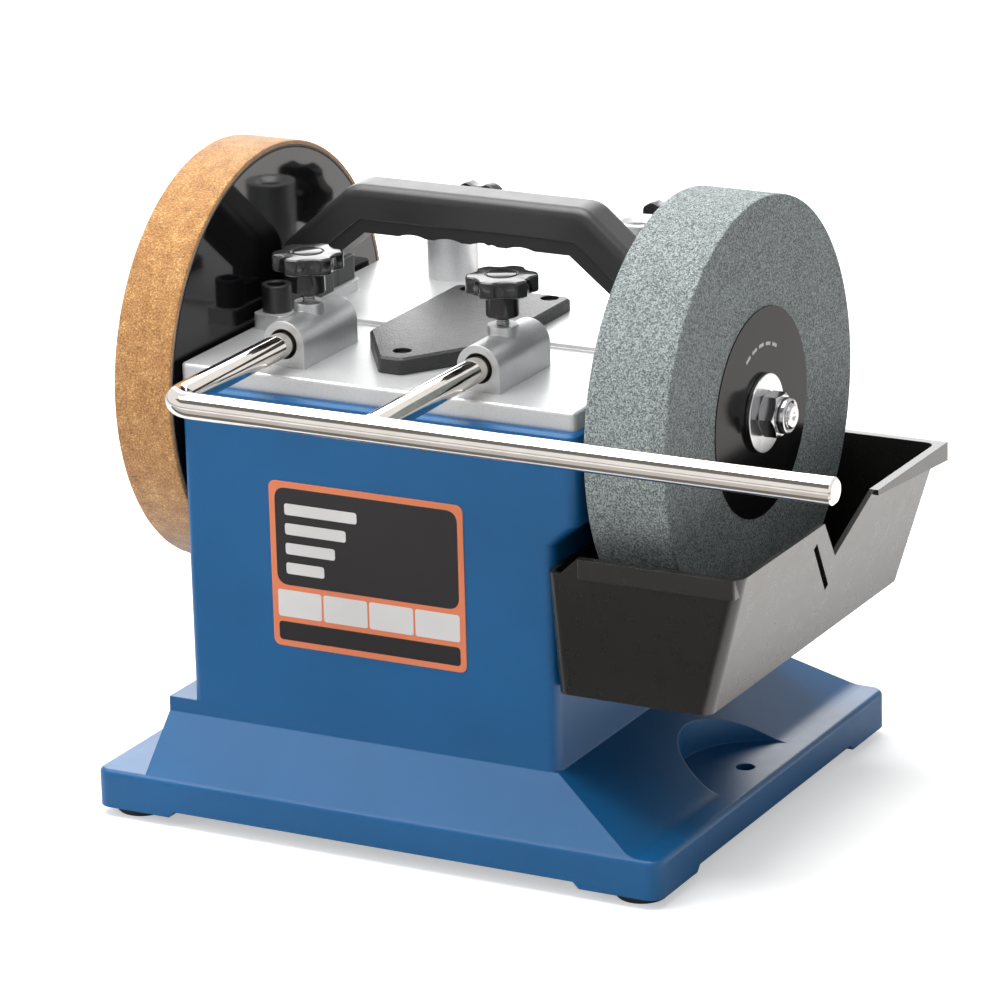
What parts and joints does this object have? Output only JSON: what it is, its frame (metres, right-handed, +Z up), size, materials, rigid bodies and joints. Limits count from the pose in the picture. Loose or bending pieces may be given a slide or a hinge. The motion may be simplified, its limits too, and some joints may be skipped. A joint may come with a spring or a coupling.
{
  "type": "water-cooled bench sharpening machine",
  "caption": "Water-cooled bench sharpener: a whetstone dipping in a trough, a leather honing wheel, a sliding tool support bar, star knobs and a carry handle on a flared housing.",
  "frame": {"origin": "on the bench, midway between the two bench-bolt holes", "axes": "+X to the stone, +Y to the back, +Z up"},
  "size_m": [0.4085, 0.315, 0.2985],
  "materials": {
    "blue_body": "satin",
    "cast_aluminium": "satin",
    "bright_bar": "polished",
    "zinc_steel": "satin",
    "sheet_steel": "satin",
    "spindle_steel": "satin",
    "black_plastic": "satin",
    "black_gloss": "gloss",
    "black_rubber": "matte",
    "whetstone": "matte",
    "wheel_disc": "matte",
    "tan_leather": "matte",
    "label_film": "satin",
    "bronze": "satin",
    "motor_enamel": "satin",
    "motor_core": "matte",
    "capacitor_can": "satin",
    "switch_red": "gloss"
  },
  "bodies": {
    "base": {"housing": "blue_body", "bottom_cover": "sheet_steel", "bottom_cover_screws": "zinc_steel", "rubber_feet": "black_rubber", "foot_screws": "zinc_steel", "front_label": "label_film", "top_plate": "cast_aluminium", "plate_screws": "zinc_steel", "carry_handle": "black_plastic", "handle_grip": "black_plastic", "handle_screws": "zinc_steel", "tool_sleeve_left": "cast_aluminium", "tool_sleeve_right": "cast_aluminium", "tool_sleeve_screws": "zinc_steel", "post_sleeve_left": "cast_aluminium", "post_sleeve_right": "cast_aluminium", "post_sleeve_screws": "zinc_steel", "access_cover": "black_plastic", "access_cover_screws": "zinc_steel", "bearing_block_left": "cast_aluminium", "bearing_block_right": "cast_aluminium", "bearing_bushes": "bronze", "bearing_bolts": "zinc_steel", "motor_bracket": "sheet_steel", "bracket_bolts": "zinc_steel", "motor_screws": "zinc_steel", "motor_shell": "motor_enamel", "motor_top_bell": "cast_aluminium", "motor_bottom_bell": "cast_aluminium", "motor_stator": "motor_core", "motor_bearings": "spindle_steel", "capacitor": "capacitor_can", "capacitor_clip": "sheet_steel", "switch_housing": "black_plastic", "cable_gland": "black_plastic"},
    "spindle": {"main_shaft": "spindle_steel", "worm_wheel": "bronze", "grinding_stone": "whetstone", "stone_labels": "wheel_disc", "stone_inner_flange": "zinc_steel", "stone_washer": "zinc_steel", "stone_nut": "zinc_steel", "honing_wheel": "black_gloss", "leather_band": "tan_leather", "honing_washers": "zinc_steel", "honing_nut": "zinc_steel"},
    "rotor_body": {"rotor": "motor_core", "worm": "spindle_steel"},
    "support": {"tool_support": "bright_bar"},
    "trough": {"water_trough": "black_plastic"},
    "rocker": {"switch_rocker": "switch_red"},
    "knob_front_left": {"lock_knob_front_left": "black_plastic", "lock_screw_front_left": "zinc_steel"},
    "knob_front_right": {"lock_knob_front_right": "black_plastic", "lock_screw_front_right": "zinc_steel"},
    "knob_rear_left": {"lock_knob_rear_left": "black_plastic", "lock_screw_rear_left": "zinc_steel"},
    "knob_rear_right": {"lock_knob_rear_right": "black_plastic", "lock_screw_rear_right": "zinc_steel"}
  },
  "joints": [
    {"name": "spindle_spin", "type": "hinge", "parent": "base", "child": "spindle", "pos_m": [0, 0, 0.197], "axis": [1, 0, 0], "continuous": true},
    {"name": "rotor_spin", "type": "hinge", "parent": "base", "child": "rotor_body", "pos_m": [-0.011, -0.027, 0.1], "axis": [0, 0, 1], "continuous": true},
    {"name": "support_slide", "type": "slide", "parent": "base", "child": "support", "axis": [0, 1, 0], "range_m": [-0.03, 0.075]},
    {"name": "trough_lift", "type": "slide", "parent": "base", "child": "trough", "axis": [0, 0, 1], "range_m": [0, 0.005]},
    {"name": "switch_tip", "type": "hinge", "parent": "base", "child": "rocker", "pos_m": [0.0445, 0.097, 0.15], "axis": [1, 0, 0], "range_deg": [0, 16]},
    {"name": "knob_front_left_turn", "type": "hinge", "parent": "base", "child": "knob_front_left", "pos_m": [-0.0615, -0.057, 0.25], "axis": [0, 0, 1], "range_deg": [0, 180]},
    {"name": "knob_front_right_turn", "type": "hinge", "parent": "base", "child": "knob_front_right", "pos_m": [0.0395, -0.057, 0.25], "axis": [0, 0, 1], "range_deg": [0, 180]},
    {"name": "knob_rear_left_turn", "type": "hinge", "parent": "base", "child": "knob_rear_left", "pos_m": [-0.0615, 0.1, 0.2435], "axis": [0, 1, 0], "range_deg": [0, 180]},
    {"name": "knob_rear_right_turn", "type": "hinge", "parent": "base", "child": "knob_rear_right", "pos_m": [0.0395, 0.1, 0.2435], "axis": [0, 1, 0], "range_deg": [0, 180]}
  ],
  "couplings": [
    {"joint": "rotor_spin", "follows": "spindle_spin", "ratio": 12}
  ]
}
